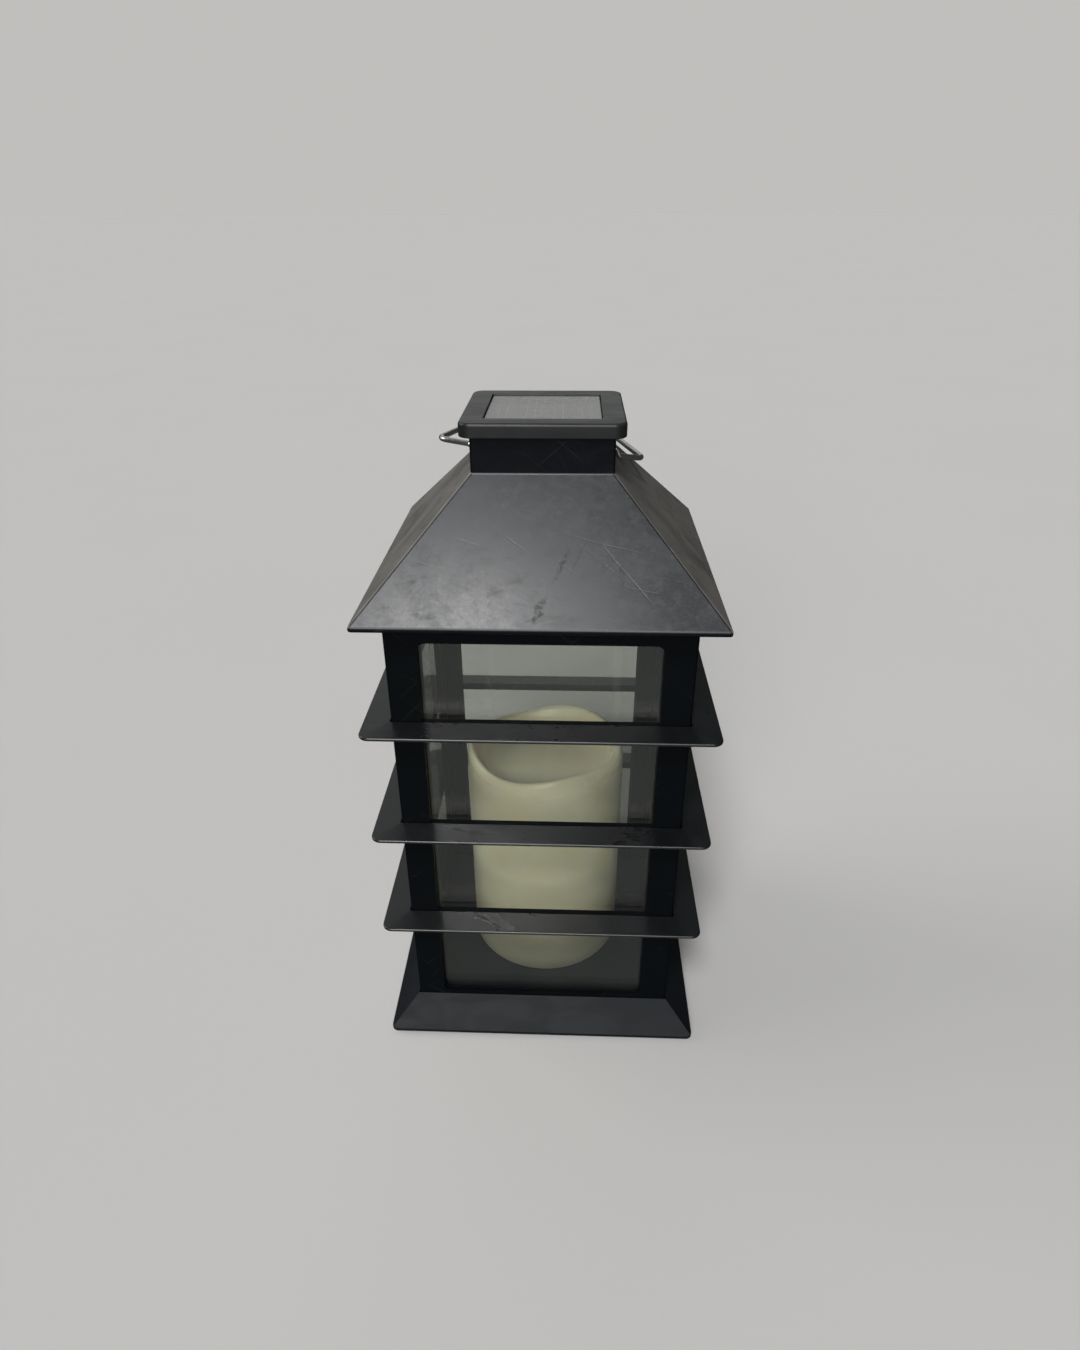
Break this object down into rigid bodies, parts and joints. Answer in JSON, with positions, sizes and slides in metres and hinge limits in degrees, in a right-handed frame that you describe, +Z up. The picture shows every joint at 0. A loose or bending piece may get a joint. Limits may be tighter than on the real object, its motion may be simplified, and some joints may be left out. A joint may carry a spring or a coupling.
{
  "type": "solar lantern",
  "caption": "Square solar lantern with a hipped roof, louvre rings, glass panes, a wax candle lamp, a solar cap and a folding wire bail.",
  "frame": {"origin": "middle of the footprint, on the ground under the rubber feet", "axes": "+Z up, -Y towards the front, +X to the right seen from the front"},
  "size_m": [0.15, 0.15, 0.2919],
  "materials": {
    "black_plastic": "moulded satin black, lightly scuffed",
    "roof_plastic": "moulded black, dusty and rubbed",
    "pane_glass": "clear, faint green-grey",
    "clear_resin": "slightly hazed clear cover",
    "solar_silicon": "laminated cell board",
    "candle_wax": "satin ivory wax",
    "steel_wire": "bright drawn wire",
    "screw_zinc": "zinc plated",
    "foot_rubber": "soft black",
    "board_green": "solder mask",
    "cell_sleeve": "shrink sleeve, no print",
    "white_plastic": "moulded off-white",
    "lamp_epoxy": "diffused lamp body",
    "chip_black": "moulded package",
    "lead_pvc": "PVC insulated two-core lead"
  },
  "bodies": {
    "lantern_body": {"base_tray": "black_plastic", "bottom_cover": "black_plastic", "body_cage": "black_plastic", "louvre_ring_lower": "black_plastic", "louvre_ring_middle": "black_plastic", "louvre_ring_upper": "black_plastic", "ceiling_tray": "black_plastic", "cap_frame": "black_plastic", "cap_tray": "black_plastic", "pane_column_front_left": "black_plastic", "pane_column_front_right": "black_plastic", "pane_column_rear_left": "black_plastic", "pane_column_rear_right": "black_plastic", "roof_shell": "roof_plastic", "glass_pane_front": "pane_glass", "glass_pane_right": "pane_glass", "glass_pane_rear": "pane_glass", "glass_pane_left": "pane_glass", "solar_window": "clear_resin", "solar_cell": "solar_silicon", "candle_shell": "candle_wax", "contact_plate": "steel_wire", "contact_spring": "steel_wire", "switch_body": "steel_wire", "base_screw_front_left": "screw_zinc", "base_screw_front_right": "screw_zinc", "base_screw_rear_left": "screw_zinc", "base_screw_rear_right": "screw_zinc", "column_screw_front_left": "screw_zinc", "column_screw_front_right": "screw_zinc", "column_screw_rear_left": "screw_zinc", "column_screw_rear_right": "screw_zinc", "roof_screw_front": "screw_zinc", "roof_screw_rear": "screw_zinc", "roof_screw_left": "screw_zinc", "roof_screw_right": "screw_zinc", "housing_screw_left": "screw_zinc", "housing_screw_right": "screw_zinc", "foot_pad_front_left": "foot_rubber", "foot_pad_front_right": "foot_rubber", "foot_pad_rear_left": "foot_rubber", "foot_pad_rear_right": "foot_rubber", "circuit_board": "board_green", "battery_cell": "cell_sleeve", "battery_housing": "white_plastic", "lamp_mast": "white_plastic", "led_lamp": "lamp_epoxy", "driver_chip": "chip_black", "choke_coil": "chip_black", "solar_lead": "lead_pvc", "lamp_lead": "lead_pvc"},
    "bail": {"bail_handle": "steel_wire"},
    "battery_door": {"battery_door": "black_plastic"},
    "switch_slider": {"switch_slider": "white_plastic"}
  },
  "joints": [
    {"name": "bail_swing", "type": "hinge", "parent": "lantern_body", "child": "bail", "pos_m": [0, 0, 0.2747], "axis": [1, 0, 0], "range_deg": [0, 186]},
    {"name": "battery_door_swing", "type": "hinge", "parent": "lantern_body", "child": "battery_door", "pos_m": [-0.03, -0.0059, 0.002], "axis": [0, 1, 0], "range_deg": [0, 85]},
    {"name": "switch_slide", "type": "slide", "parent": "lantern_body", "child": "switch_slider", "axis": [1, 0, 0], "range_m": [0, 0.0025]}
  ]
}
